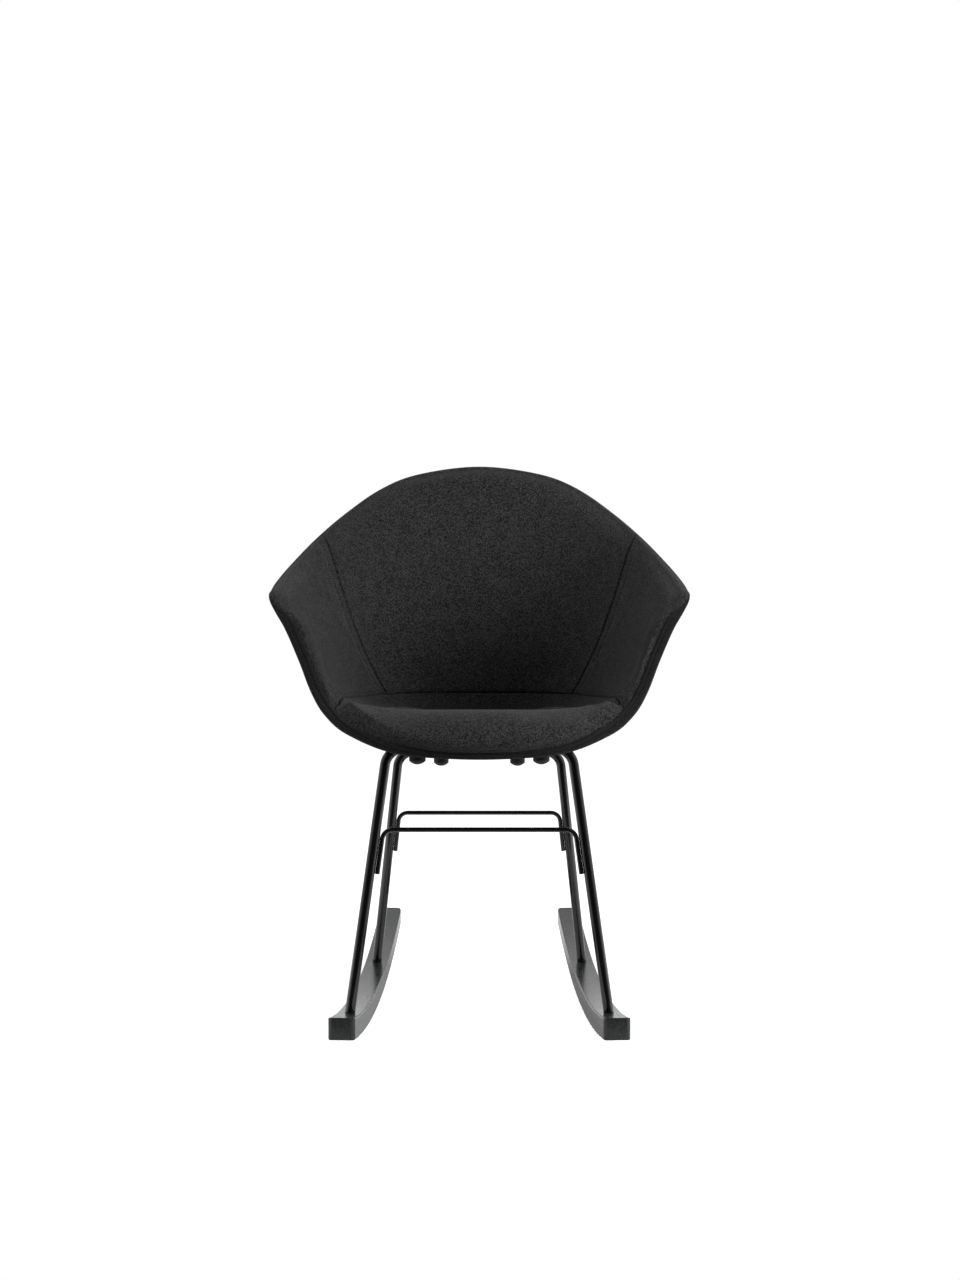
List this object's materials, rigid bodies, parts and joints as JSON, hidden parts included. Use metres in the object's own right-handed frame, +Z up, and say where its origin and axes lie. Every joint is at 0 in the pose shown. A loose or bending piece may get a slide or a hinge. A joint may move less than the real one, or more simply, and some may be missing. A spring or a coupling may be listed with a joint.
{
  "type": "upholstered rocking chair",
  "caption": "Upholstered tub rocking chair with a padded seat and arms, on bent steel tube leg frames that stand on curved wooden rockers.",
  "frame": {"origin": "on the floor, under the middle of the chair's overall length and width", "axes": "+Z up, the chair faces -Y, and +X points to the sitter's left, so the chair's mirror plane is X = 0"},
  "size_m": [0.5846, 0.6384, 0.8122],
  "materials": {
    "charcoal_fabric": "matte",
    "moulded_plastic": "matte",
    "black_powder_coat": "satin",
    "stained_ash": "satin",
    "black_plastic": "matte",
    "zinc_steel": "satin",
    "brass": "satin"
  },
  "bodies": {
    "root": {"seat_shell": "moulded_plastic", "outer_cover": "charcoal_fabric", "seat_pad": "charcoal_fabric", "centre_back_pad": "charcoal_fabric", "arm_pad_left": "charcoal_fabric", "arm_pad_right": "charcoal_fabric", "edge_binding": "charcoal_fabric", "front_leg_frame": "black_powder_coat", "rear_leg_frame": "black_powder_coat", "front_stretcher": "black_powder_coat", "rear_stretcher": "black_powder_coat", "rocker_left": "stained_ash", "rocker_right": "stained_ash", "tube_saddles": "black_plastic", "shell_inserts": "brass", "shell_bolts": "zinc_steel", "bolt_caps": "black_plastic", "leg_plugs": "zinc_steel", "rocker_screws": "zinc_steel"}
  },
  "joints": []
}
